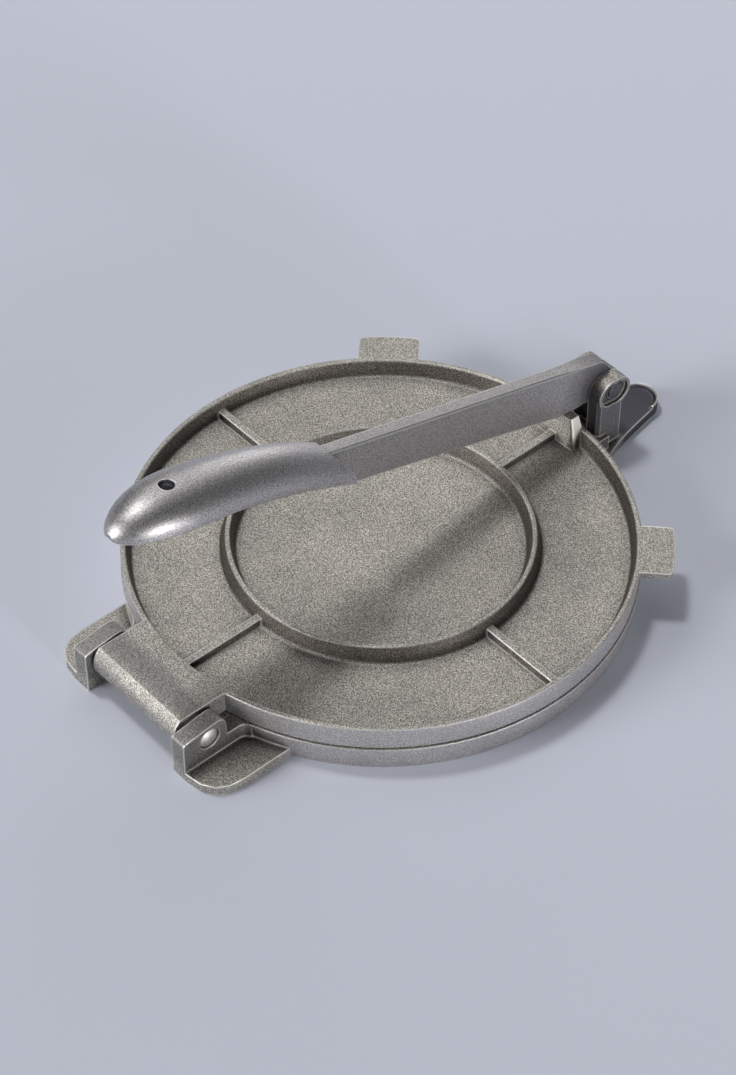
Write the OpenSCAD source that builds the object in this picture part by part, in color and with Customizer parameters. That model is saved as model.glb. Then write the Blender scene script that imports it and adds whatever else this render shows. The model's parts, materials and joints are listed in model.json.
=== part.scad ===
// Tortilla press: three sand castings joined by two plain steel pins.
// Millimetres. The origin is on the table under the middle of the whole press and +Z is up.
// +Y points to the plate hinge, -Y to the lever bracket, and X runs along both pins.
// The modules are drawn round the middle of the plates, and in_place() moves them to the origin.

/* [Pressing plates] */
// Radius of the round plates at the top of the rim
plate_r = 100; // [92:1:115]
// Height of the base casting, from the table to its pressing face
base_h = 11; // [10:0.5:13]
// Height of the top casting, from its pressing face to the top of its rim
lid_h = 10.1; // [9:0.1:11]
// Air between the closed pressing faces
press_gap = 0.4; // [0.3:0.1:1]
// Thickness of the base's pressing disc
base_disc_t = 4.2; // [3:0.2:6]
// Thickness of the top casting's pressing disc
lid_disc_t = 3.3; // [3:0.1:4.5]
// How far the base's edge stands out past the top casting's edge
base_step = 0.4; // [0.2:0.1:0.8]
// How far the outer walls lean in over their height
wall_draft = 1.2; // [0.6:0.1:2]

/* [Rim, ring and ribs] */
// Width of the flat land on top of the rim and the ring
land_w = 2; // [1.6:0.1:3]
// How far the inner walls lean out from top to foot
foot_spread = 1.9; // [1:0.1:3]
// Size of the rounded edges along rims and rings
edge_r = 0.6; // [0.3:0.1:0.7]
// Size of the fillets where walls meet the disc
fillet_r = 1.4; // [0.6:0.1:2]
// Outer radius of the ring's land
ring_r = 60; // [45:1:70]
// Height of a rib above the disc
rib_h = 2.7; // [1.5:0.1:4]
// Width of a rib's flat top
rib_w = 3; // [2:0.1:5]
// Outer radius of the ring under the base
under_ring_r = 56; // [40:1:65]
// Air between the table and the ring and ribs under the base
under_lift = 1; // [0.5:0.1:2]
// Thickness of the base's outer wall where it meets the table
skirt_w = 3; // [2:0.1:5]

/* [Plate hinge] */
// Distance of the hinge pin behind the plates' edge
hinge_offset = 11.2; // [10.8:0.1:12.5]
// Height of the hinge pin above the base's pressing face
hinge_rise = 3.4; // [3:0.1:4]
// Diameter of the hinge pin
hinge_pin_d = 9; // [6:0.1:10]
// Air between the hinge barrel and the base's edge
barrel_gap = 1.2; // [0.4:0.1:1.6]
// Width of the hinge tongue
tongue_w = 47.6; // [30:0.5:60]
// Air between the tongue and each lug
lug_gap = 1.6; // [0.3:0.1:2.5]
// Thickness of each hinge lug
lug_t = 7; // [5:0.5:9]
// Reach of a lug in front of the pin
lug_front = 8; // [7.4:0.1:8.6]
// Reach of a lug behind the pin
lug_rear = 12; // [9:0.1:13]
// Height of a lug's front above the pin
lug_up = 7.3; // [6.5:0.1:8]
// Fall of a lug's top from front to rear
lug_fall = 2.6; // [0:0.1:3]
// Size of a lug's round front corner
lug_round = 6; // [2:0.5:7]
// How deep the hinge pin's ends lie below the lugs' faces
pin_recess = 1.2; // [0.3:0.1:2]
// Size of the fillet between a lug's neck and the base's edge
neck_fillet = 4; // [2:0.5:8]

/* [Feet] */
// Thickness of the flat feet
foot_t = 4.5; // [3:0.1:6]
// Width of a hinge foot beside its lug
foot_w = 16; // [12:0.5:22]
// Size of a hinge foot's round corner
foot_corner = 15; // [6:0.5:16]
// Distance of the bracket foot's end from the plates' edge
toe_reach = 49.2; // [46:0.2:56]
// Radius of the bracket foot's round end
toe_r = 8.2; // [6:0.1:9]
// Height of the lip round the bracket foot's end
toe_lip = 1.4; // [0.6:0.1:2]
// Width of that lip at its foot
toe_lip_w = 2; // [1.2:0.1:3]
// Width of that lip at its top
toe_lip_top = 0.8; // [0.4:0.1:1.2]
// Size of the hollow curve down each side of the bracket foot
toe_waist = 12; // [4:0.5:14]

/* [Lever bracket] */
// Distance of the lever pin in front of the plates' edge
pivot_offset = 17; // [16.6:0.1:20]
// Height of the lever pin above the base's pressing face
pivot_rise = 19.3; // [18.6:0.1:22]
// Diameter of the lever pin
lever_pin_d = 8; // [6:0.1:9]
// Width of the rim round the sunk head of each ear
head_rim = 1.3; // [0.8:0.1:1.6]
// Depth of that sunk head
head_depth = 1.8; // [1:0.1:2.5]
// How deep the lever pin's ends lie below the ears' outer faces
lever_pin_recess = 0.6; // [0.2:0.1:1]
// Radius of an ear round the lever pin
boss_r = 6.8; // [6.6:0.1:7.4]
// Thickness of each ear
ear_t = 6.4; // [5:0.1:8]
// Air between the lever's hub and each ear
ear_gap = 0.35; // [0.3:0.05:0.6]
// Reach of an ear from the lever pin toward the plates
ear_reach = 10.2; // [9.5:0.1:10.8]
// Radius of an ear's rounded top
ear_arch_r = 6.7; // [6.5:0.1:7.4]
// Height of the middle of that rounded top over the pin
ear_arch_up = 0.3; // [0:0.1:1.5]
// Depth of an ear's column along Y
ear_depth = 12.6; // [11:0.1:14]
// Chamfer down the column's outer corner toward the plates
ear_chamfer = 1.4; // [0.6:0.1:2.4]
// Width of the neck between the bracket and the base's edge
bracket_w = 25; // [22:0.5:34]
// Distance from the lever pin to the front of that neck
neck_back = 5.5; // [4:0.5:8]

/* [Press block and lifting tabs] */
// Width of the press block at its foot
block_foot_w = 24; // [18:0.5:28]
// Width of the press block at its top
block_top_w = 14; // [11:0.5:18]
// Depth of the press block's flat top
block_top_l = 4.6; // [3:0.1:6]
// How far the block's inner face leans in from foot to top
block_lean = 3; // [1:0.1:4]
// Size of the block's round inner corners at its foot
block_round = 2.5; // [1:0.1:3.5]
// Size of those corners at its top
block_top_round = 1.5; // [0.6:0.1:2]
// Distance from the block's outer face to the edge of the rim
block_set = 1.4; // [0.8:0.1:1.8]
// Air between the press block and the resting lever
block_gap = 0.3; // [0.3:0.05:0.5]
// Angle of the lifting tabs from the lever's side
tab_angle = 46.7; // [35:0.1:70]
// Width of a lifting tab
tab_w = 25; // [15:0.5:35]
// Reach of a lifting tab past the rim
tab_reach = 12.3; // [8:0.1:18]
// Thickness of a lifting tab
tab_t = 3; // [2:0.1:5]
// Bulge of a lifting tab's outer edge
tab_bulge = 0.7; // [0.2:0.1:2]
// Size of a lifting tab's round corners
tab_round = 2; // [1:0.5:4]

/* [Lever arm] */
// Rise of the resting lever's arm, in degrees
arm_rise = 15.6; // [14:0.1:17]
// Length of the arm, from the pin to the front of the grip
arm_l = 143; // [135:1:150]
// Height of the arm's top face over the line through the pin
arm_up = 11.8; // [10.8:0.1:12.5]
// Depth of the arm's underside below the line through the pin
arm_down = 9.7; // [8.6:0.1:10]
// Depth of the arm's underside where it reaches the grip
arm_end_down = 7; // [5:0.1:8]
// Thickness of the arm's web
web_t = 4.6; // [3.6:0.1:5.2]
// Width of the arm's top flange
flange_w = 5.8; // [5.4:0.1:6.4]
// Width of the hub and of the arm's root beside it
hub_w = 7; // [6.6:0.1:8]
// Thickness of the arm's top flange
flange_t = 1.3; // [1:0.1:3]
// Radius of the hub
hub_r = 6.9; // [6.6:0.1:7.4]
// Angle round the hub at which the slope up to the arm's top leaves it
hub_turn = 96; // [90:1:110]
// Distance from the lever pin to the near end of the arm's top
top_from = 5.6; // [5:0.1:8]
// Size of the round corner there
top_round = 2.5; // [1:0.5:4]
// Distance from the lever pin to the end of the arm's thick root
root_l = 15; // [12:0.5:20]
// Length over which the arm narrows from its root
taper_l = 16; // [8:1:24]
// How far the flange runs into the grip
flange_in = 13; // [10:1:14]
// Drop from the lever pin to the flat that bears on the press block
bear_drop = 3.6; // [3:0.1:4.2]
// Distance from the lever pin to the near end of that flat
bear_from = 12; // [10:0.5:14]
// Distance from the lever pin to its far end
bear_to = 26; // [24:0.5:30]
// Size of the rounded edges along the flange's top
flange_edge = 0.5; // [0.3:0.1:0.9]

/* [Grip] */
// Length of the grip's lower edge, along Y
grip_l = 107.6; // [94:0.2:112]
// Width of the grip where its nose begins
grip_w = 29; // [24:0.5:36]
// Height of the grip's crown over its lower edges
grip_crown = 11.6; // [10:0.1:14]
// Wall of the grip's shell
grip_wall = 2.6; // [2:0.1:3.2]
// Rise of the grip's lower edges from front to tip
grip_rise = 34; // [30:0.2:38]
// How strongly the grip arches: 1 is straight
grip_bow = 1.72; // [1.4:0.02:2]
// Length of the level stretch at the grip's tip
grip_flat_l = 9; // [4:1:14]
// Length of the grip's rounded nose
nose_l = 31; // [24:1:40]
// Lean of the grip's open front
front_lean = 10.5; // [6:0.5:12]
// How far the front's lower corners are rounded back
front_corner = 4; // [0:0.5:6]
// How much lower the crown is at the front
front_dip = 2; // [1:0.1:3]
// Share of its width that the grip loses from nose to front
front_taper = 0.19; // [0:0.01:0.3]
// Length over which the front's lean, corners and lower crown fade
front_l = 42; // [30:1:60]
// Drop from the arm's top to the grip's lower edges at the front
grip_drop = 12.5; // [11:0.1:13]
// Thickness of the rib under the crown
grip_rib_t = 4.2; // [3:0.1:4.4]
// Length of the rib under the crown
rib_l = 64; // [50:1:66]
// Distance along the arm from the start of that rib to the grip
rib_back = 8; // [4:1:12]
// Diameter of the hanging hole
hang_d = 6; // [4:0.1:8]
// Distance of the hanging hole from the grip's tip
hang_from_tip = 24.6; // [23:0.2:40]
// Lean of the hanging hole, in degrees
hang_lean = 8; // [4:1:12]

/* [Hidden] */
$fn = 120;
eps = 0.01;
pin_fit = 0.05;
run_fit = 0.1;
pin_chamfer = 0.6;
corner_steps = 4;
round_steps = 14;
nose_steps = 8;
body_steps = 9;
nose_turn = 80;
corner_power = 24;
casting_grey = "#9a968c";
lever_grey = "#8b8785";
steel = "#c9c7c2";

// Levels above the table
lid_z = base_h + press_gap;
rim_z = lid_z + lid_h;
floor_z = lid_z + lid_disc_t;
base_floor_z = base_h - base_disc_t;
hinge_z = base_h + hinge_rise;
pivot_z = base_h + pivot_rise;

// Plan sizes
base_r = plate_r + base_step;
skirt_r = base_r - wall_draft;
rim_in_r = plate_r - land_w;
hinge_y = plate_r + hinge_offset;
barrel_r = hinge_offset - base_step - barrel_gap;
lug_in = tongue_w / 2 + lug_gap;
lug_out = lug_in + lug_t;
pivot_y = plate_r + pivot_offset;
slot_w = hub_w + 2 * ear_gap;
ear_out = slot_w / 2 + ear_t;
bear_z = pivot_z - bear_drop;

// One corner b between a and c, rounded from a distance d on either side
function bend(a, b, c, d) = d == 0 ? [b] :
    let (p = b + d * (a - b) / norm(a - b), q = b + d * (c - b) / norm(c - b))
    [for (i = [0 : corner_steps]) let (t = i / corner_steps)
        pow(1 - t, 2) * p + 2 * t * (1 - t) * b + t * t * q];

function flat(p) = [p[0], p[1]];

// Outline through points [x, y, corner size]
function rounded(pts) = let (n = len(pts))
    [for (i = [0 : n - 1])
        each bend(flat(pts[(i + n - 1) % n]), flat(pts[i]), flat(pts[(i + 1) % n]), pts[i][2])];

// Extrudes a Y-Z outline along X, centred on the plane X = 0
module across(w) {
    rotate([90, 0, 90]) translate([0, 0, -w / 2]) linear_extrude(w) children();
}

// The same piece on both sides of the plane X = 0
module both_sides() {
    for (side = [0, 1]) mirror([side, 0, 0]) children();
}

// Straight rib with drafted sides along +X, from radius r0 to r1, from level z0 to z1
module rib(r0, r1, z0, z1, top_w) {
    lean = foot_spread / 2;
    foot = top_w / 2 + lean;
    rotate([90, 0, 90]) translate([0, 0, r0]) linear_extrude(r1 - r0)
        polygon([[-foot, z0], [foot, z0], [top_w / 2, z1], [-top_w / 2, z1]]);
}

module four_ribs(r0, r1, z0, z1, top_w) {
    for (turn = [0 : 90 : 270]) rotate(turn) rib(r0, r1, z0, z1, top_w);
}

// --- Base casting ---

// Disc with an outer skirt and an inner ring under it
module base_disc() {
    ring_in = under_ring_r - land_w;
    skirt_in = skirt_r - skirt_w;
    rotate_extrude() polygon(rounded([
        [0, base_floor_z, 0],
        [ring_in - foot_spread, base_floor_z, fillet_r],
        [ring_in, under_lift, edge_r],
        [under_ring_r, under_lift, edge_r],
        [under_ring_r + foot_spread, base_floor_z, fillet_r],
        [skirt_in - foot_spread, base_floor_z, fillet_r],
        [skirt_in, 0, edge_r],
        [skirt_r, 0, edge_r],
        [base_r, base_h, edge_r],
        [0, base_h, 0]]));
    four_ribs(under_ring_r, skirt_in, base_floor_z + eps, under_lift, rib_w);
}

// Hinge lug with its neck to the disc and the flat foot beside it
module lug() {
    front = hinge_y - lug_front;
    rear = hinge_y + lug_rear;
    top = hinge_z + lug_up;
    translate([lug_in + lug_t / 2, 0, 0]) across(lug_t)
        polygon(rounded([[front, 0, 0], [rear, 0, 0], [rear, top - lug_fall, fillet_r], [front, top, lug_round]]));
    difference() {
        union() {
            linear_extrude(base_h) neck_outline();
            linear_extrude(foot_t) polygon(rounded([
                [lug_in, hinge_y, 0], [lug_in, skirt_r - foot_corner, 0],
                [lug_out + foot_w, skirt_r - 2 * foot_corner, 0],
                [lug_out + foot_w, rear, foot_corner], [lug_out, rear, 0], [lug_out, hinge_y, 0]]));
        }
        under_disc();
    }
}

// Room under the disc, inside its outer wall
module under_disc() {
    translate([0, 0, -eps]) cylinder(r = skirt_r - skirt_w / 2, h = base_h + 2 * eps);
}

// Plan of a lug's neck, with a fillet of radius neck_fillet against the disc's edge
module neck_outline() {
    centre = [lug_out + neck_fillet, sqrt(pow(base_r + neck_fillet, 2) - pow(lug_out + neck_fillet, 2))];
    touch = centre * base_r / (base_r + neck_fillet);
    inner = skirt_r - foot_corner;
    polygon([[lug_in, inner], [lug_out, inner], [lug_out, hinge_y], [lug_in, hinge_y]]);
    difference() {
        polygon([[lug_in, inner], [touch[0], inner], touch, centre, [lug_in, centre[1]]]);
        translate(centre) circle(neck_fillet);
    }
}

// Tongue-shaped foot under the lever bracket, with a raised lip round its end
module bracket_foot() {
    end_y = plate_r + toe_reach - toe_r;
    half = bracket_w / 2;
    root_y = plate_r - half;
    difference() {
        union() {
            linear_extrude(foot_t) {
                translate([0, -end_y]) circle(toe_r);
                polygon(rounded([[-toe_r, -end_y, 0], [-half, -pivot_y, toe_waist], [-bracket_w, -root_y, 0],
                    [bracket_w, -root_y, 0], [half, -pivot_y, toe_waist], [toe_r, -end_y, 0]]));
            }
            translate([0, -end_y, 0]) difference() {
                cylinder(r = toe_r, h = foot_t + toe_lip);
                translate([0, 0, foot_t])
                    cylinder(r1 = toe_r - toe_lip_w, r2 = toe_r - toe_lip_top, h = toe_lip + eps);
                translate([-toe_r, 0, foot_t]) cube([2 * toe_r, toe_r, toe_lip + eps]);
            }
            translate([-half, -pivot_y + neck_back, 0]) cube([bracket_w, pivot_offset, base_h]);
        }
        under_disc();
    }
}

// Side view of an ear's round head, where two circles overlap
module ear_head(r_pin, r_arch) {
    translate([-pivot_y, pivot_z]) circle(r_pin);
    translate([-pivot_y + ear_reach - ear_arch_r, pivot_z + ear_arch_up]) circle(r_arch);
}

// One ear of the lever bracket, with the sunk outer face of its head round the pin
module ear() {
    inner = slot_w / 2;
    plate_side = -pivot_y + ear_reach;
    difference() {
        union() {
            translate([inner + ear_t / 2, 0, 0]) across(ear_t) ear_head(boss_r, ear_arch_r);
            linear_extrude(pivot_z + ear_arch_up) polygon([
                [inner, plate_side - ear_depth], [ear_out, plate_side - ear_depth],
                [ear_out, plate_side - ear_chamfer], [ear_out - ear_chamfer, plate_side], [inner, plate_side]]);
        }
        translate([ear_out, 0, 0]) across(2 * head_depth) ear_head(boss_r - head_rim, ear_arch_r - head_rim);
    }
}

// Hole along X for a pin, with its own clearance
module pin_hole(y, z, d, clearance, w) {
    translate([-w / 2, y, z]) rotate([0, 90, 0]) cylinder(d = d + 2 * clearance, h = w);
}

// Moves the middle of the whole press to the origin
module in_place() {
    translate([0, (plate_r + toe_reach - tip_y) / 2, 0]) children();
}

module base_plate() {
    color(casting_grey) in_place() difference() {
        union() {
            base_disc();
            both_sides() lug();
            bracket_foot();
            both_sides() ear();
        }
        pin_hole(hinge_y, hinge_z, hinge_pin_d, pin_fit, 2 * lug_out + 2);
        pin_hole(-pivot_y, pivot_z, lever_pin_d, pin_fit, 2 * ear_out + 2);
    }
}

// --- Top casting ---

// Disc with its edge rim and the raised ring
module lid_disc() {
    ring_in = ring_r - land_w;
    rotate_extrude() polygon(rounded([
        [0, lid_z, 0],
        [plate_r - base_step / 2, lid_z, edge_r],
        [plate_r, rim_z, edge_r],
        [rim_in_r, rim_z, edge_r],
        [rim_in_r - foot_spread, floor_z, fillet_r],
        [ring_r + foot_spread, floor_z, fillet_r],
        [ring_r, rim_z, edge_r],
        [ring_in, rim_z, edge_r],
        [ring_in - foot_spread, floor_z, fillet_r],
        [0, floor_z, 0]]));
    four_ribs(ring_r - edge_r, rim_in_r, floor_z - eps, floor_z + rib_h, rib_w);
}

// Hinge tongue, flush with the rim, that ends in the barrel round the pin
module tongue() {
    difference() {
        across(tongue_w) {
            translate([plate_r - foot_corner, lid_z + edge_r])
                square([hinge_offset + foot_corner, rim_z - lid_z - edge_r]);
            intersection() {
                translate([hinge_y, hinge_z]) circle(barrel_r);
                translate([hinge_y - barrel_r, 0]) square([2 * barrel_r, rim_z]);
            }
        }
        cylinder(r = rim_in_r + edge_r, h = rim_z + 1);
    }
}

// Drafted block on the rim that carries the lever's pressure
module press_block() {
    rear = plate_r - block_set;
    hull() {
        translate([0, -rear, floor_z - eps]) linear_extrude(eps)
            block_outline(block_foot_w, block_top_l + block_lean, block_round);
        translate([0, -rear, bear_z - block_gap - eps]) linear_extrude(eps)
            block_outline(block_top_w, block_top_l, block_top_round);
    }
}

// Block plan from Y = 0 inward, with round inner corners
module block_outline(w, l, corner) {
    polygon(rounded([[-w / 2, 0, 0], [w / 2, 0, 0], [w / 2, l, corner], [-w / 2, l, corner]]));
}

module lifting_tab() {
    reach = plate_r + tab_reach;
    side_x = sqrt(pow(reach, 2) - pow(tab_w / 2, 2));
    inner = plate_r - land_w / 2 - pow(tab_w / 2, 2) / (2 * plate_r);
    translate([0, 0, rim_z - tab_t]) linear_extrude(tab_t)
        polygon(rounded([[inner, -tab_w / 2, 0], [side_x, -tab_w / 2, tab_round],
            [reach + tab_bulge, 0, tab_w / 3], [side_x, tab_w / 2, tab_round], [inner, tab_w / 2, 0]]));
}

module top_plate() {
    color(casting_grey) in_place() difference() {
        union() {
            lid_disc();
            tongue();
            press_block();
            for (side = [-1, 1]) rotate(side * tab_angle - 90) lifting_tab();
        }
        pin_hole(hinge_y, hinge_z, hinge_pin_d, run_fit, tongue_w + 2);
    }
}

// --- Lever ---

// A step from the lever pin in level directions, in the arm's directions
function to_arm(p) = [p[0] * cos(arm_rise) + p[1] * sin(arm_rise), p[1] * cos(arm_rise) - p[0] * sin(arm_rise)];

// A place on the arm as [Y, Z]
function from_arm(p) = [p[0] * cos(arm_rise) - p[1] * sin(arm_rise) - pivot_y,
    p[0] * sin(arm_rise) + p[1] * cos(arm_rise) + pivot_z];

// Children drawn from the lever pin, with +Y along the arm
module on_arm() {
    translate([0, -pivot_y, pivot_z]) rotate([arm_rise, 0, 0]) children();
}

// Plan of the arm between two places, narrowing from half width root to half width end
module arm_plan(root, end, from, to) {
    side = [[root, from], [root, root_l], [end, root_l + taper_l], [end, to]];
    polygon(concat(side, [for (i = [len(side) - 1 : -1 : 0]) [-side[i][0], side[i][1]]]));
}

// Hub and web of the arm, with the level flat that bears on the press block
module web() {
    across(hub_w) circle(hub_r);
    intersection() {
        across(hub_w) polygon(rounded([
            [hub_r * cos(hub_turn), hub_r * sin(hub_turn), 0],
            [top_from, arm_up, top_round],
            [arm_l, arm_up, 0],
            [arm_l - rib_back, -arm_end_down, 0],
            [arm_l / 3, -arm_down, hub_r],
            concat(to_arm([bear_to, -bear_drop]), [fillet_r]),
            concat(to_arm([bear_from, -bear_drop]), [fillet_r]),
            [hub_r / 3, -hub_r * 0.9, 0]]));
        translate([0, 0, -2 * arm_down]) linear_extrude(4 * arm_up)
            arm_plan(hub_w / 2, web_t / 2, -hub_r, arm_l);
    }
}

// Top flange of the arm, with narrowed top edges
module flange() {
    translate([0, 0, arm_up - flange_t]) {
        linear_extrude(flange_t - flange_edge) flange_plan(0);
        linear_extrude(flange_t) flange_plan(flange_edge);
    }
}

module flange_plan(inset) {
    arm_plan(hub_w / 2 - inset, flange_w / 2 - inset, top_from + top_round, arm_l + flange_in);
}

// --- Grip ---

front = from_arm([arm_l, arm_up]);
front_y = front[0];
edge_z = front[1] - grip_drop;
tip_y = front_y + grip_l;
shoulder_y = tip_y - nose_l;

// Level of the grip's lower edges at Y
function edge_level(y) = let (left = max(0, 1 - (y - front_y) / (grip_l - grip_flat_l)))
    edge_z + grip_rise * (1 - pow(left, grip_bow));

// How much of the front's own shape is left at Y
function front_share(y) = pow(max(0, 1 - (y - front_y) / front_l), 2);

// Height of the crown over the lower edges at Y
function crown_at(y) = grip_crown - front_dip * front_share(y);

// Stations along the grip as [Y, share of the full width, share of the full height]
function stations(inset) = concat(
    [for (i = [0 : body_steps - 1]) let (t = i / body_steps)
        [front_y + (shoulder_y - front_y) * t, 1 - front_taper * (1 - t), 1]],
    [for (i = [0 : nose_steps]) let (a = nose_turn * i / nose_steps)
        [shoulder_y + (nose_l - inset) * sin(a), cos(a), cos(a)]]);

// Half-round section at a station, from the right edge over the crown to the left edge
function section(st, inset) = let (
    w = (grip_w / 2 - inset) * st[1],
    h = (crown_at(st[0]) - inset) * st[2],
    share = front_share(st[0]))
    [for (i = [0 : round_steps]) let (
        a = 180 * i / round_steps,
        y = st[0] + share * (front_lean * sin(a) + front_corner * pow(cos(a), corner_power)))
        [w * cos(a), y, edge_level(y) + h * sin(a)]];

function quad(a, b, c, d) = [[a, c, b], [a, d, c]];

// Open shell between an outer and an inner skin
module shell() {
    outer = [for (st = stations(0)) section(st, 0)];
    inner = [for (st = stations(grip_wall)) section(st, grip_wall)];
    n = len(outer);
    m = round_steps + 1;
    in = n * m;
    last = (n - 1) * m;
    skins = [for (i = [0 : n - 2], k = [0 : m - 2]) let (a = i * m + k)
        each concat(quad(a, a + m, a + m + 1, a + 1), quad(in + a, in + a + 1, in + a + m + 1, in + a + m))];
    mouth = [for (k = [0 : m - 2]) each quad(k, k + 1, in + k + 1, in + k)];
    edges = [for (i = [0 : n - 2]) let (r = i * m, l = r + m - 1)
        each concat(quad(r, in + r, in + r + m, r + m), quad(l, l + m, in + l + m, in + l))];
    tip = [for (k = [1 : m - 2])
        each [[last, last + k, last + k + 1], [in + last, in + last + k + 1, in + last + k]]];
    sole = quad(last, in + last, in + last + m - 1, last + m - 1);
    polyhedron(points = [for (ring = concat(outer, inner)) each ring],
        faces = concat(skins, mouth, edges, tip, sole));
}

// Rib that carries the arm's web on under the crown
module grip_rib() {
    root = arm_l - rib_back;
    crown = [for (i = [0 : body_steps]) let (y = front_y + front_lean + (rib_l - front_lean) * i / body_steps)
        [y, edge_level(y) + crown_at(y) - grip_wall / 2]];
    across(grip_rib_t)
        polygon(concat([from_arm([root - fillet_r, -arm_end_down / 2]), from_arm([root, arm_up - flange_t / 2])], crown));
}

// Hole down through the crown, for a hook
module hanging_hole() {
    y = tip_y - hang_from_tip;
    translate([0, y, edge_level(y)]) rotate([hang_lean, 0, 0]) cylinder(d = hang_d, h = 2 * grip_crown);
}

module lever() {
    color(lever_grey) in_place() difference() {
        union() {
            on_arm() {
                web();
                flange();
            }
            shell();
            grip_rib();
        }
        pin_hole(-pivot_y, pivot_z, lever_pin_d, run_fit, hub_w + 2);
        hanging_hole();
    }
}

// --- Pins ---

// Plain pin along X with chamfered ends
module pin(y, z, d, length) {
    translate([-length / 2, y, z]) rotate([0, 90, 0]) rotate_extrude() polygon([
        [0, 0], [d / 2 - pin_chamfer, 0], [d / 2, pin_chamfer],
        [d / 2, length - pin_chamfer], [d / 2 - pin_chamfer, length], [0, length]]);
}

module hinge_pin() {
    color(steel) in_place() pin(hinge_y, hinge_z, hinge_pin_d, 2 * (lug_out - pin_recess));
}

module lever_pin() {
    color(steel) in_place() pin(-pivot_y, pivot_z, lever_pin_d, 2 * (ear_out - lever_pin_recess));
}

base_plate();
top_plate();
lever();
hinge_pin();
lever_pin();
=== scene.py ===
"""Looks of a cast tortilla press: three sand castings, two steel pins and a plain studio."""
import json
import math

import bmesh
import bpy
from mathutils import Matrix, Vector

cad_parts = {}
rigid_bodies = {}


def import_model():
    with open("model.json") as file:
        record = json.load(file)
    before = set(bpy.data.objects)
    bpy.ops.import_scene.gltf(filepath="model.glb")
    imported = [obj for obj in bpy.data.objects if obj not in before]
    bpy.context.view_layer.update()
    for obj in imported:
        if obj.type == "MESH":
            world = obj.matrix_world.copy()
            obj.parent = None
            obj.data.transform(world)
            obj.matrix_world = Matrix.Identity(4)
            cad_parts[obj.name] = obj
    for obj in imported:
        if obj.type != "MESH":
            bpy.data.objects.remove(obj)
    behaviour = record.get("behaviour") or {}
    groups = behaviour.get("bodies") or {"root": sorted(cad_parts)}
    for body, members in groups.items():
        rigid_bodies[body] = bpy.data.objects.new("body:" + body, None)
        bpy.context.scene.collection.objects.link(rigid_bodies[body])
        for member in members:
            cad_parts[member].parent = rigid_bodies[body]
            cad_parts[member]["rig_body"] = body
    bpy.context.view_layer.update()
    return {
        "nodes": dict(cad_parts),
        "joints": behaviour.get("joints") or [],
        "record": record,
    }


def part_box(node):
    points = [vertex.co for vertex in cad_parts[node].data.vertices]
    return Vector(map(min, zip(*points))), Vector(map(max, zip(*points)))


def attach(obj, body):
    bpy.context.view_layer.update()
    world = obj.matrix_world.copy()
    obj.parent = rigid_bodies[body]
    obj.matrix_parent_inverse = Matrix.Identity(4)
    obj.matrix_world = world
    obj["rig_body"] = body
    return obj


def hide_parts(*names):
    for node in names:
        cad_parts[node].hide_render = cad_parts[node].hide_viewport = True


MM = 0.001

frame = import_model()

# --- Places, from the frame's joints and mounts ---

joints = {joint["name"]: joint for joint in frame["joints"]}
mounts = {mount["name"]: mount for mount in frame["record"]["mounts"]}
HINGE_Y, HINGE_Z = joints["plate_hinge"]["pos_m"][1:]
PIVOT_Y, PIVOT_Z = joints["lever_swing"]["pos_m"][1:]
PIVOT_FROM_PLATES = 117 * MM
PLATES_Y = PIVOT_Y + PIVOT_FROM_PLATES

# An axis is the directions across it and a point on it.
PLATES_AXIS = ((1, 1, 0), (0, PLATES_Y, 0))
HINGE_AXIS = ((0, 1, 1), (0, HINGE_Y, HINGE_Z))
PIVOT_AXIS = ((0, 1, 1), (0, PIVOT_Y, PIVOT_Z))

# --- Camera ---

AZIMUTH = math.radians(228.65)
ELEVATION = math.radians(45.61)
DISTANCE = 1099.85 * MM
AIM_FROM_PLATES = Vector((16.78, -8.06, 0)) * MM
AIM = Vector((0, PLATES_Y, 0)) + AIM_FROM_PLATES
IMAGE_HEIGHT_PX = 1075
FOCAL_PX = 2797.45
SENSOR_MM = 36
CLIP_START = 0.05
CLIP_END = 100

# --- Skin of the castings ---

# Moulding sand is about 0.25 mm across, too fine to show, so its grain is drawn at 0.5 mm.
GRAIN = 0.5 * MM
GRAIN_DETAIL = 2.0
GRAIN_ROUGHNESS = 0.65
# Turned, because a level face would cut an unturned grain evenly and lose it.
GRAIN_TURN = (0.7, 0.5, 0.3)
GRAIN_LOW = 0.33
GRAIN_HIGH = 0.67

# Cooling leaves pale and dull patches about 20 mm across.
PATCH = 20 * MM
PATCH_DETAIL = 2.0
PATCH_STOPS = [(0.3, "#ebebec"), (0.7, "#ffffff")]

# Cast edges are rounded to 0.6 mm, and as far they are painted paler, partly as wear and partly as painted
# highlight.
EDGE = 0.6 * MM
# Painted shade darkens up to 9 mm from a corner, with a painted highlight on a fillet of 1.5 mm in its
# depth.
CREASE = 9 * MM
FILLET = 1.5 * MM
SHADING_SAMPLES = 6

# Each pair below is where a finish, painted shade or painted light begins and where it is full.
# The first three are how open the space in or round the metal is, from 0 to 1, and the next three
# a normal's part along Z, X and Y.
EDGE_FADE = (0.97, 0.62)
CREASE_FADE = (0.85, 0.4)
FILLET_FADE = (0.78, 0.6)
WALL_FADE = (0.95, 0.6)
BLOCK_END_FADE = (0.6, 0.8)
BLOCK_FRONT_FADE = (0.7, 0.85)

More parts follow.
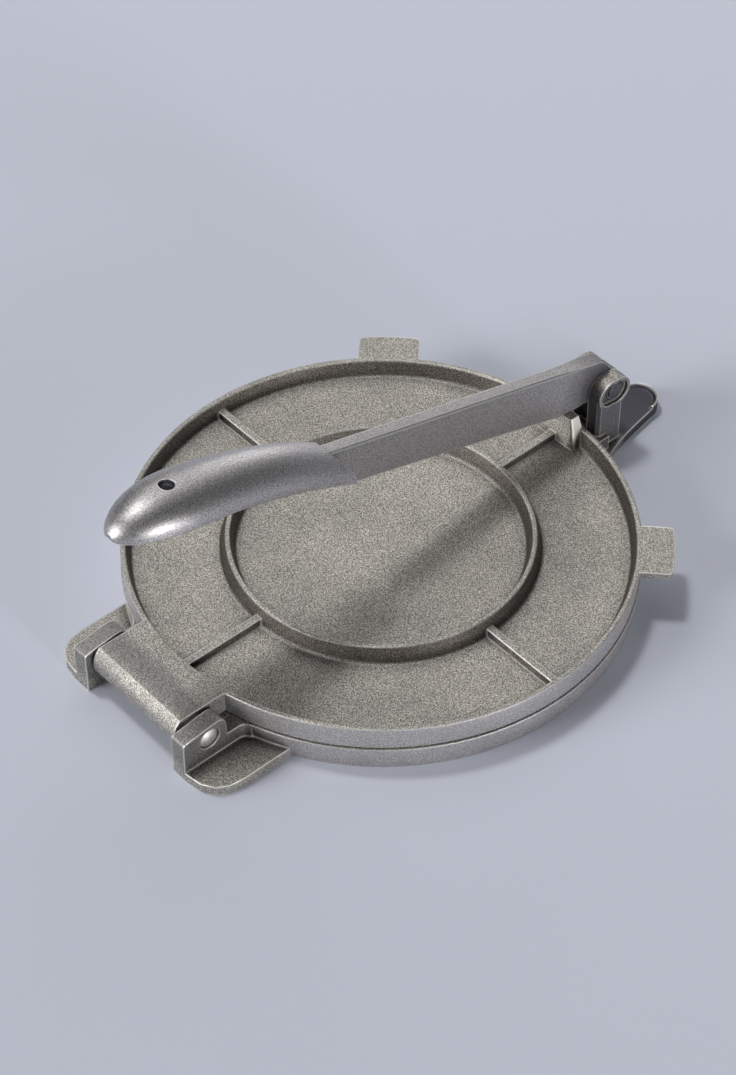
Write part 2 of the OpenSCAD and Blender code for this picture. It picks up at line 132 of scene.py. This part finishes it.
# These pairs are radii round the plates, the pivot and the hinge, heights over the table, places
# along Y, and on the press block distances from the press's middle plane.
RIM_R = 98 * MM
RIM_IN_FADE = (RIM_R, RIM_R - 0.3 * MM)
RIM_OUT_FADE = (RIM_R, RIM_R + 0.3 * MM)
RIM_PAST_FADE = (RIM_R + 4 * MM, RIM_R + 3 * MM)
BRACKET_FADE = (32 * MM, 30 * MM)
BRACKET_WALL_FADE = (30 * MM, 24 * MM)
PIN_HEAD_FADE = (6 * MM, 5 * MM)
TOE_FADE = (PIVOT_Y + 2 * MM, PIVOT_Y - 5 * MM)
TOE_TOP_FADE = (14 * MM, 10 * MM)
BLOCK_FRONT_SIDE_FADE = (9 * MM, 8 * MM)
BLOCK_END_IN_FADE = (5 * MM, 6 * MM)
BLOCK_END_OUT_FADE = (14 * MM, 13 * MM)
LUG_FADE = (16 * MM, 13 * MM)
LUG_FOOT_FADE = (4 * MM, 7 * MM)
BARREL_FADE = (10 * MM, 7.5 * MM)
ROOT_FADE = (26 * MM, 8 * MM)
GRIP_FADE = (PLATES_Y + 20 * MM, PLATES_Y + 60 * MM)

# How strongly a finish, painted shade or painted light shows where it is full.
FILLET_HIGHLIGHT_SHARE = 0.7
OUTER_WALL_LIGHT_SHARE = 0.36
BRACKET_WALL_SHADE_SHARE = 0.7
LUG_SHARE = 0.45
BARREL_SHARE = 0.5
ROOT_SHADE_SHARE = 0.75
LEVER_EDGE_WEAR_AND_HIGHLIGHT_SHARE = 0.6

# --- Colours, with each stop's place from the low to the high of its grain ---

PLATE_STOPS = [(GRAIN_LOW, "#65625c"), (0.5, "#aeaaa2"), (GRAIN_HIGH, "#efebe2")]
ARM_STOPS = [(GRAIN_LOW, "#868384"), (GRAIN_HIGH, "#d2cecd")]
GRIP_STOPS = [(GRAIN_LOW, "#888588"), (GRAIN_HIGH, "#d8d4d2")]
# Multiplied into the plates' inner walls as painted shade.
INNER_WALL_SHADE_TONE = "#a09c9b"
# Paler colour mixed into the plates' outer walls as painted light.
OUTER_WALL_LIGHT_COLOUR = "#dcd9df"
# Painted highlight on the press block's ends.
BLOCK_END_HIGHLIGHT_COLOUR = "#dedad2"
LUG_COLOUR = "#66636a"
# Dark colour painted as shade round the bracket and on the lever's root.
PIVOT_SHADE_COLOUR = "#58555d"
# Painted shade in the plates' corners.
PLATE_CORNER_SHADE_COLOUR = "#262425"
# Painted highlight on the fillets deep in corners.
FILLET_HIGHLIGHT_COLOUR = "#e4e0d8"
# Pale colour on the plates' edges, partly wear and partly painted highlight.
PLATE_EDGE_WEAR_AND_HIGHLIGHT_COLOUR = "#f2f0ea"
# Painted shade in the lever's corners.
LEVER_CORNER_SHADE_COLOUR = "#2b292d"
# Pale colour on the lever's edges, partly wear and partly painted highlight.
LEVER_EDGE_WEAR_AND_HIGHLIGHT_COLOUR = "#efedea"
# Pale steel painted as light on the hinge pin, and dark steel painted as shade on the lever pin.
LIT_STEEL = ("#dedbd5", "#f6f4ef")
SHADED_STEEL = ("#4f4c50", "#7d7a7e")

# --- Gloss and relief ---

# On the plates a pair is for the open skin and its rubbed edges, and on the lever for arm and grip.
PLATE_ROUGHNESS = (0.56, 0.34)
PLATE_RELIEF = 0.35 * MM
PLATE_RELIEF_STRENGTH = 0.5
LEVER_ROUGHNESS = (0.55, 0.41)
LEVER_RELIEF = 0.3 * MM
LEVER_RELIEF_STRENGTH = (0.45, 0.3)

# Drawing and handling leave dull marks about 1.5 mm across on the steel.
STEEL_MARK = 1.5 * MM
STEEL_DETAIL = 3.0
STEEL_FADE = (0.3, 0.7)
STEEL_ROUGHNESS = (0.42, 0.55)

# --- Pins, and the ring round the hanging hole, whose depth is measured from the crown ---

# Edges that turn by less than this are parts of a curve.
SMOOTH_BELOW = math.radians(28)
MERGE = 0.001 * MM
DOME_STEPS = 6
ROUND_STEPS = 48
HINGE_PIN_LONGER = 1.5 * MM
HINGE_PIN_DOME = 1.3 * MM
HINGE_PIN_CHAMFER = 0.2 * MM
LEVER_PIN_LONGER = 0.0
LEVER_PIN_DOME = 0.4 * MM
LEVER_PIN_CHAMFER = 0.3 * MM
BOSS_IN = 3.05 * MM
BOSS_OUT = 5.4 * MM
BOSS_TOP = 1.6 * MM
BOSS_LOW = 7.0 * MM
BOSS_ROUND = 1.2 * MM
# How far the middle of the ring's rounded corner lies inside the square one.
BOSS_CORNER = 0.3 * BOSS_ROUND

# --- Studio ---

# So wide that no view from above shows its edge.
FLOOR_SIDE = 60.0
FLOOR_COLOUR = "#cfd3e0"
FLOOR_ROUGHNESS = 0.9
# Height of a direction from the press, from 0 at the horizon to 1 overhead, and its colour.
SKY_STOPS = [(0.01, "#bcc0cc"), (0.12, "#6f6f6f"), (0.9, "#525457")]


def linear(hex_colour):
    """Linear RGBA of an sRGB hex colour."""
    channels = [int(hex_colour[i:i + 2], 16) / 255 for i in (1, 3, 5)]
    return (*[c / 12.92 if c <= 0.04045 else ((c + 0.055) / 1.055) ** 2.4 for c in channels], 1)


def add_node(material, kind, inputs=(), stops=(), **settings):
    """Adds a node with its settings, its ramp's stops and its inputs, by name or in their order.

    An input takes a number, a vector, a hex colour or an output. A node given as an input stands
    for its first output in use.
    """
    node = material.node_tree.nodes.new("ShaderNode" + kind)
    for name, value in settings.items():
        setattr(node, name, value)
    while stops and len(node.color_ramp.elements) < len(stops):
        node.color_ramp.elements.new(0.5)
    for number, (place, colour) in enumerate(stops):
        node.color_ramp.elements[number].position = place
        node.color_ramp.elements[number].color = linear(colour)
    if isinstance(inputs, dict):
        filled = [(node.inputs[name], value) for name, value in inputs.items()]
    else:
        filled = list(zip([socket for socket in node.inputs if socket.enabled], inputs))
    for socket, value in filled:
        if isinstance(value, bpy.types.Node):
            value = next(output for output in value.outputs if output.enabled)
        if isinstance(value, bpy.types.NodeSocket):
            material.node_tree.links.new(value, socket)
        else:
            socket.default_value = linear(value) if isinstance(value, str) else value
    return node


def new_material(name):
    """Empty material that uses nodes."""
    material = bpy.data.materials.new(name)
    material.use_nodes = True
    material.node_tree.nodes.clear()
    return material


# --- Camera object ---

def add_camera():
    """Camera at the viewing angle, with its focal length from pixels of the image's height."""
    look = Vector((
        -math.sin(AZIMUTH) * math.cos(ELEVATION),
        math.cos(AZIMUTH) * math.cos(ELEVATION),
        -math.sin(ELEVATION)))
    data = bpy.data.cameras.new("camera")
    data.sensor_fit = "VERTICAL"
    data.sensor_height = SENSOR_MM
    data.lens = FOCAL_PX / IMAGE_HEIGHT_PX * SENSOR_MM
    data.clip_start = CLIP_START
    data.clip_end = CLIP_END
    camera = bpy.data.objects.new("camera", data)
    camera.location = AIM - look * DISTANCE
    camera.rotation_euler = look.to_track_quat("-Z", "Y").to_euler()
    bpy.context.scene.collection.objects.link(camera)
    bpy.context.scene.camera = camera


# --- Where each finish, painted shade and painted light lies on a casting, as shares from 0 to 1 ---

def edge_wear_and_highlight_share(material):
    """0 on open faces and in corners, and up to 1 along outer edges, which are painted paler as wear and
    painted highlight.
    """
    inside = add_node(material, "AmbientOcclusion", {"Distance": EDGE}, samples=SHADING_SAMPLES,
                      inside=True, only_local=True)
    return add_node(material, "MapRange", (inside.outputs["AO"], *EDGE_FADE))


def corner_share(material, reach, fade, most=1.0):
    """0 on open faces and up to the most in the casting's own corners, within the reach."""
    outside = add_node(material, "AmbientOcclusion", {"Distance": reach}, samples=SHADING_SAMPLES,
                       only_local=True)
    return add_node(material, "MapRange", (outside.outputs["AO"], *fade, 0, most))


def reach_from(material, coords, axis):
    """Distance from an axis."""
    directions, point = axis
    flat = add_node(material, "VectorMath", (coords, directions), operation="MULTIPLY")
    return add_node(material, "VectorMath", (flat, point), operation="DISTANCE")


def own_normal(material):
    """The casting's own normal as X, Y and Z outputs, the same in every pose."""
    normal = add_node(material, "TexCoord").outputs["Normal"]
    return add_node(material, "SeparateXYZ", (normal,)).outputs


def steep_share(material):
    """1 on walls of the casting and 0 on its level faces."""
    slope = add_node(material, "Math", (own_normal(material)["Z"],), operation="ABSOLUTE")
    return add_node(material, "MapRange", (slope, *WALL_FADE))


def by_bracket(material, coords):
    """Share that is 1 close to the lever's bracket, and the distance from the press's middle plane."""
    near = add_node(material, "MapRange", (reach_from(material, coords, PIVOT_AXIS), *BRACKET_FADE))
    across = add_node(material, "SeparateXYZ", (coords,)).outputs["X"]
    return near, add_node(material, "Math", (across,), operation="ABSOLUTE")


def block_end_highlight_share(material, coords):
    """1 on both ends of the press block under the lever, where a pale colour is painted as a highlight."""
    near, sideways = by_bracket(material, coords)
    inner = add_node(material, "MapRange", (sideways, *BLOCK_END_IN_FADE))
    outer = add_node(material, "MapRange", (sideways, *BLOCK_END_OUT_FADE))
    on_block = add_node(material, "Math", (inner, outer), operation="MULTIPLY")
    slope = add_node(material, "Math", (own_normal(material)["X"],), operation="ABSOLUTE")
    facing = add_node(material, "MapRange", (slope, *BLOCK_END_FADE))
    end = add_node(material, "Math", (on_block, facing), operation="MULTIPLY")
    return add_node(material, "Math", (near, end), operation="MULTIPLY")


def block_front_share(material, coords):
    """1 on the front of the press block under the lever, which the painted wall shade leaves out."""
    near, sideways = by_bracket(material, coords)
    narrow = add_node(material, "MapRange", (sideways, *BLOCK_FRONT_SIDE_FADE))
    facing = add_node(material, "MapRange", (own_normal(material)["Y"], *BLOCK_FRONT_FADE))
    front = add_node(material, "Math", (narrow, facing), operation="MULTIPLY")
    return add_node(material, "Math", (near, front), operation="MULTIPLY")


def inner_wall_shade_share(material, coords):
    """1 on walls inside the plates' rims, which are darkened as painted shade, but not on the press block's
    front.
    """
    inside = add_node(material, "MapRange", (reach_from(material, coords, PLATES_AXIS), *RIM_IN_FADE))
    not_block_front = add_node(material, "Math", (1.0, block_front_share(material, coords)), operation="SUBTRACT")
    walls = add_node(material, "Math", (steep_share(material), inside), operation="MULTIPLY")
    return add_node(material, "Math", (walls, not_block_front), operation="MULTIPLY")


def outer_wall_light_share(material, coords):
    """Part of 1 on the plates' outer walls, which a paler colour lightens as painted light."""
    reach = reach_from(material, coords, PLATES_AXIS)
    outside = add_node(material, "MapRange", (reach, *RIM_OUT_FADE))
    not_past = add_node(material, "MapRange", (reach, *RIM_PAST_FADE))
    band = add_node(material, "Math", (outside, not_past), operation="MULTIPLY")
    walls = add_node(material, "Math", (steep_share(material), band), operation="MULTIPLY")
    return add_node(material, "Math", (walls, OUTER_WALL_LIGHT_SHARE), operation="MULTIPLY")


def bracket_shade_share(material, coords):
    """1 on the toe and in the sunk pin heads, and less on the bracket's walls, all darkened as painted
    shade.
    """
    place = add_node(material, "SeparateXYZ", (coords,)).outputs
    along = add_node(material, "MapRange", (place["Y"], *TOE_FADE))
    low = add_node(material, "MapRange", (place["Z"], *TOE_TOP_FADE))
    toe = add_node(material, "Math", (along, low), operation="MULTIPLY")
    reach = reach_from(material, coords, PIVOT_AXIS)
    head = add_node(material, "MapRange", (reach, *PIN_HEAD_FADE))
    near = add_node(material, "MapRange", (reach, *BRACKET_WALL_FADE, 0, BRACKET_WALL_SHADE_SHARE))
    walls = add_node(material, "Math", (steep_share(material), near), operation="MULTIPLY")
    toe_or_head = add_node(material, "Math", (toe, head), operation="MAXIMUM")
    return add_node(material, "Math", (toe_or_head, walls), operation="MAXIMUM")


def lug_share(material, coords):
    """Part of 1 on the hinge's lugs above their feet, which are mixed towards a darker purple grey."""
    near = add_node(material, "MapRange", (reach_from(material, coords, HINGE_AXIS), *LUG_FADE))
    upward = add_node(material, "SeparateXYZ", (coords,)).outputs["Z"]
    above = add_node(material, "MapRange", (upward, *LUG_FOOT_FADE, 0, LUG_SHARE))
    return add_node(material, "Math", (near, above), operation="MULTIPLY")


def barrel_share(material, coords):
    """Part of 1 round the lid's barrel, which is mixed towards the lugs' darker grey."""
    reach = reach_from(material, coords, HINGE_AXIS)
    return add_node(material, "MapRange", (reach, *BARREL_FADE, 0, BARREL_SHARE))


def root_shade_share(material, coords):
    """Part of 1 on the lever's root round the pin, which is darkened as painted shade."""
    reach = reach_from(material, coords, PIVOT_AXIS)
    return add_node(material, "MapRange", (reach, *ROOT_FADE, 0, ROOT_SHADE_SHARE))


# --- Materials ---

def sand_grain(material, coords):
    """Fine grains that the mould's sand leaves in a casting's skin."""
    turned = add_node(material, "Mapping", {"Vector": coords, "Rotation": GRAIN_TURN})
    return add_node(material, "TexNoise", {
        "Vector": turned, "Scale": 1 / GRAIN, "Detail": GRAIN_DETAIL, "Roughness": GRAIN_ROUGHNESS})


def cast_plate(name, finishes_and_painted_light):
    """Sand-cast aluminium, as cast: a dull warm grey skin with fine sandy grain, the tones it is given,
    painted shade in corners, painted highlights on fillets, and edges paler as wear and painted highlight.
    """
    material = new_material(name)
    coords = add_node(material, "TexCoord").outputs["Object"]
    grain = sand_grain(material, coords)
    patches = add_node(material, "TexNoise", {"Vector": coords, "Scale": 1 / PATCH, "Detail": PATCH_DETAIL})
    corner_shade = corner_share(material, CREASE, CREASE_FADE)
    fillet_highlight = corner_share(material, FILLET, FILLET_FADE, FILLET_HIGHLIGHT_SHARE)
    wear_and_highlight = edge_wear_and_highlight_share(material)
    skin = add_node(material, "ValToRGB", (grain,), PLATE_STOPS)
    tone = add_node(material, "ValToRGB", (patches,), PATCH_STOPS)
    skin = add_node(material, "Mix", (1.0, skin, tone), data_type="RGBA", blend_type="MULTIPLY")
    # These tones include painted shade and painted light on walls, block ends and the bracket.
    for share, blend, colour in finishes_and_painted_light:
        skin = add_node(material, "Mix", (share(material, coords), skin, colour),
                        data_type="RGBA", blend_type=blend)
    # Painted shade in the casting's own corners.
    skin = add_node(material, "Mix", (corner_shade, skin, PLATE_CORNER_SHADE_COLOUR), data_type="RGBA")
    # Painted highlight on the fillets deep in corners.
    skin = add_node(material, "Mix", (fillet_highlight, skin, FILLET_HIGHLIGHT_COLOUR), data_type="RGBA")
    # Edges painted paler, partly as wear and partly as painted highlight.
    skin = add_node(material, "Mix", (wear_and_highlight, skin, PLATE_EDGE_WEAR_AND_HIGHLIGHT_COLOUR), data_type="RGBA")
    rounded = add_node(material, "Bevel", {"Radius": EDGE}, samples=SHADING_SAMPLES)
    bump = add_node(material, "Bump", {
        "Height": grain, "Normal": rounded, "Strength": PLATE_RELIEF_STRENGTH, "Distance": PLATE_RELIEF})
    roughness = add_node(material, "MapRange", (wear_and_highlight, 0, 1, *PLATE_ROUGHNESS))
    shader = add_node(material, "BsdfPrincipled", {
        "Base Color": skin, "Normal": bump, "Roughness": roughness, "Metallic": 1.0})
    add_node(material, "OutputMaterial", {"Surface": shader})
    return material


def cast_lever():
    """Sand-cast aluminium, tumbled: the arm keeps its sandy grey skin and the grip is rubbed smooth, with
    painted shade in corners and on the root, and edges paler as wear and painted highlight.
    """
    material = new_material("sand_cast_aluminium_lever")
    coords = add_node(material, "TexCoord").outputs["Object"]
    along = add_node(material, "SeparateXYZ", (coords,)).outputs["Y"]
    grip = add_node(material, "MapRange", (along, *GRIP_FADE))
    grain = sand_grain(material, coords)
    corner_shade = corner_share(material, CREASE, CREASE_FADE)
    wear_and_highlight = add_node(material, "Math", (edge_wear_and_highlight_share(material), LEVER_EDGE_WEAR_AND_HIGHLIGHT_SHARE), operation="MULTIPLY")
    arm_skin = add_node(material, "ValToRGB", (grain,), ARM_STOPS)
    grip_skin = add_node(material, "ValToRGB", (grain,), GRIP_STOPS)
    skin = add_node(material, "Mix", (grip, arm_skin, grip_skin), data_type="RGBA")
    # The lever's root is darkened as painted shade.
    skin = add_node(material, "Mix", (root_shade_share(material, coords), skin, PIVOT_SHADE_COLOUR), data_type="RGBA")
    # Painted shade in the casting's own corners.
    skin = add_node(material, "Mix", (corner_shade, skin, LEVER_CORNER_SHADE_COLOUR), data_type="RGBA")
    # Edges painted paler, partly as wear and partly as painted highlight.
    skin = add_node(material, "Mix", (wear_and_highlight, skin, LEVER_EDGE_WEAR_AND_HIGHLIGHT_COLOUR), data_type="RGBA")
    rounded = add_node(material, "Bevel", {"Radius": EDGE}, samples=SHADING_SAMPLES)
    strength = add_node(material, "MapRange", (grip, 0, 1, *LEVER_RELIEF_STRENGTH))
    bump = add_node(material, "Bump", {
        "Height": grain, "Normal": rounded, "Strength": strength, "Distance": LEVER_RELIEF})
    roughness = add_node(material, "MapRange", (grip, 0, 1, *LEVER_ROUGHNESS))
    shader = add_node(material, "BsdfPrincipled", {
        "Base Color": skin, "Normal": bump, "Roughness": roughness, "Metallic": 1.0})
    add_node(material, "OutputMaterial", {"Surface": shader})
    return material


def drawn_steel(name, colours):
    """Cold-drawn steel bar with riveted ends, in a pale copy painted as light or a dark copy painted as
    shade, with some dullness from handling.
    """
    material = new_material(name)
    coords = add_node(material, "TexCoord").outputs["Object"]
    marks = add_node(material, "TexNoise", {
        "Vector": coords, "Scale": 1 / STEEL_MARK, "Detail": STEEL_DETAIL})
    colour = add_node(material, "ValToRGB", (marks,), list(zip(STEEL_FADE, colours)))
    roughness = add_node(material, "MapRange", (marks, *STEEL_FADE, *STEEL_ROUGHNESS))
    shader = add_node(material, "BsdfPrincipled", {
        "Base Color": colour, "Roughness": roughness, "Metallic": 1.0})
    add_node(material, "OutputMaterial", {"Surface": shader})
    return material


# --- Castings and pins ---

def shown(form, name, material, body):
    """Makes a bmesh into a piece with smooth curves and sharp edges, which rides on a body."""
    for edge in form.edges:
        edge.smooth = len(edge.link_faces) == 2 and edge.calc_face_angle(0) < SMOOTH_BELOW
    for face in form.faces:
        face.smooth = True
    mesh = bpy.data.meshes.new(name)
    form.to_mesh(mesh)
    form.free()
    mesh.materials.append(material)
    piece = bpy.data.objects.new(name, mesh)
    bpy.context.scene.collection.objects.link(piece)
    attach(piece, body)
    return piece


def spun(form, profile, middle, axis):
    """Spins a profile of points about an axis into a closed form that faces outwards."""
    points = [form.verts.new(place) for place in profile]
    for first, second in zip(points, points[1:]):
        form.edges.new((first, second))
    bmesh.ops.spin(form, geom=form.verts[:] + form.edges[:], cent=middle, axis=axis,
                   angle=math.tau, steps=ROUND_STEPS, use_merge=True)
    bmesh.ops.remove_doubles(form, verts=form.verts, dist=MERGE)
    bmesh.ops.recalc_face_normals(form, faces=form.faces)


def dressed(node_name, material):
    """Copy of a CAD node with its shared corners merged, which stands for the node."""
    node = frame["nodes"][node_name]
    form = bmesh.new()
    form.from_mesh(node.data)
    bmesh.ops.remove_doubles(form, verts=form.verts, dist=MERGE)
    piece = shown(form, node_name + "_skin", material, node["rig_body"])
    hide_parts(node_name)


def domed_pin(node_name, material, longer, dome, chamfer):
    """Pin of a CAD node's radius, as much longer at each end as given, with low riveted domes."""
    low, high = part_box(node_name)
    middle = (low + high) / 2
    radius = (high.z - low.z) / 2
    half = (high.x - low.x) / 2 + longer
    face = radius - chamfer
    outline = [(half - dome * (step / DOME_STEPS) ** 2, face * step / DOME_STEPS)
               for step in range(DOME_STEPS + 1)]
    outline.append((half - dome - chamfer, radius))
    outline += [(-x, r) for x, r in reversed(outline)]
    form = bmesh.new()
    spun(form, [(middle.x + x, middle.y, middle.z + r) for x, r in outline], middle, (1, 0, 0))
    piece = shown(form, node_name + "_skin", material, frame["nodes"][node_name]["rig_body"])
    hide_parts(node_name)


def hole_boss(material):
    """Thickened ring that the casting has round the hanging hole, on the hollow side of the grip."""
    along = Vector(mounts["hanging_hole"]["axis"]).normalized()
    middle = Vector(mounts["hanging_hole"]["pos_m"])
    side = along.orthogonal().normalized()
    outline = [(BOSS_IN, BOSS_TOP), (BOSS_OUT, BOSS_TOP), (BOSS_OUT, BOSS_LOW + BOSS_ROUND),
               (BOSS_OUT - BOSS_CORNER, BOSS_LOW + BOSS_CORNER), (BOSS_OUT - BOSS_ROUND, BOSS_LOW),
               (BOSS_IN, BOSS_LOW), (BOSS_IN, BOSS_TOP)]
    form = bmesh.new()
    spun(form, [middle + side * r - along * depth for r, depth in outline], middle, along)
    shown(form, "grip_hole_boss", material, frame["nodes"]["lever"]["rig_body"])


# --- Floor, lamps and sky ---

def plain_floor():
    """Smooth matt card under the press."""
    material = new_material("matt_studio_card")
    shader = add_node(material, "BsdfPrincipled", {
        "Base Color": FLOOR_COLOUR, "Roughness": FLOOR_ROUGHNESS})
    add_node(material, "OutputMaterial", {"Surface": shader})
    form = bmesh.new()
    bmesh.ops.create_grid(form, x_segments=1, y_segments=1, size=FLOOR_SIDE / 2)
    mesh = bpy.data.meshes.new("floor")
    form.to_mesh(mesh)
    form.free()
    mesh.materials.append(material)
    floor = bpy.data.objects.new("floor", mesh)
    bpy.context.scene.collection.objects.link(floor)


def add_lamp(name, data, azimuth, elevation, distance):
    """Lamp that faces the press, at angles in degrees from +X towards +Y and up."""
    around = math.radians(azimuth)
    up = math.radians(elevation)
    lamp = bpy.data.objects.new(name, data)
    lamp.location = distance * Vector((
        math.cos(around) * math.cos(up), math.sin(around) * math.cos(up), math.sin(up)))
    lamp.rotation_euler = (-lamp.location).to_track_quat("-Z", "Y").to_euler()
    bpy.context.scene.collection.objects.link(lamp)


def far_lamp(name, azimuth, elevation, spread, strength):
    """Soft lamp so far off that it lights the whole floor evenly; spread is its width in degrees."""
    data = bpy.data.lights.new(name, "SUN")
    data.angle = math.radians(spread)
    data.energy = strength
    add_lamp(name, data, azimuth, elevation, distance=1)


def near_box(name, azimuth, elevation, distance, side, power):
    """Square soft box near the press."""
    data = bpy.data.lights.new(name, "AREA")
    data.size = side
    data.energy = power
    add_lamp(name, data, azimuth, elevation, distance)


def soft_sky():
    """Dim studio all round, which pales to the floor's tone where the two meet."""
    world = bpy.data.worlds.new("studio")
    world.use_nodes = True
    direction = add_node(world, "TexCoord").outputs["Generated"]
    height = add_node(world, "SeparateXYZ", (direction,)).outputs["Z"]
    sky = add_node(world, "ValToRGB", (height,), SKY_STOPS)
    world.node_tree.links.new(sky.outputs["Color"], world.node_tree.nodes["Background"].inputs["Color"])
    bpy.context.scene.world = world


# --- The press in its studio ---

add_camera()
# The plates' inner walls are darkened as painted shade, and their outer walls lightened as painted light.
plate_walls = [(inner_wall_shade_share, "MULTIPLY", INNER_WALL_SHADE_TONE), (outer_wall_light_share, "MIX", OUTER_WALL_LIGHT_COLOUR)]
# The base's toe, pin heads and bracket walls are darkened as painted shade.
base_metal = cast_plate("sand_cast_aluminium_base", plate_walls + [
    (lug_share, "MIX", LUG_COLOUR), (bracket_shade_share, "MIX", PIVOT_SHADE_COLOUR)])
# The press block's ends carry a painted highlight.
lid_metal = cast_plate("sand_cast_aluminium_lid", plate_walls + [
    (barrel_share, "MIX", LUG_COLOUR), (block_end_highlight_share, "MIX", BLOCK_END_HIGHLIGHT_COLOUR)])
lever_metal = cast_lever()
# Pale and dark copies of one steel, as painted light and painted shade.
lit_steel = drawn_steel("cold_drawn_steel_bright", LIT_STEEL)
shaded_steel = drawn_steel("cold_drawn_steel_oiled", SHADED_STEEL)
dressed("base_plate", base_metal)
dressed("top_plate", lid_metal)
dressed("lever", lever_metal)
hole_boss(lever_metal)
domed_pin("hinge_pin", lit_steel, HINGE_PIN_LONGER, HINGE_PIN_DOME, HINGE_PIN_CHAMFER)
domed_pin("lever_pin", shaded_steel, LEVER_PIN_LONGER, LEVER_PIN_DOME, LEVER_PIN_CHAMFER)

plain_floor()
far_lamp("key", azimuth=12, elevation=69, spread=10, strength=0.92)
near_box("back_box", azimuth=-43, elevation=50, distance=1.6, side=1.2, power=4.6)
far_lamp("left_box", azimuth=72, elevation=20, spread=30, strength=2.05)
far_lamp("flank_box", azimuth=178, elevation=7, spread=8, strength=1.3)
far_lamp("rim_box", azimuth=-52, elevation=7, spread=14, strength=0.23)
soft_sky()

bpy.context.scene.view_settings.view_transform = "Standard"
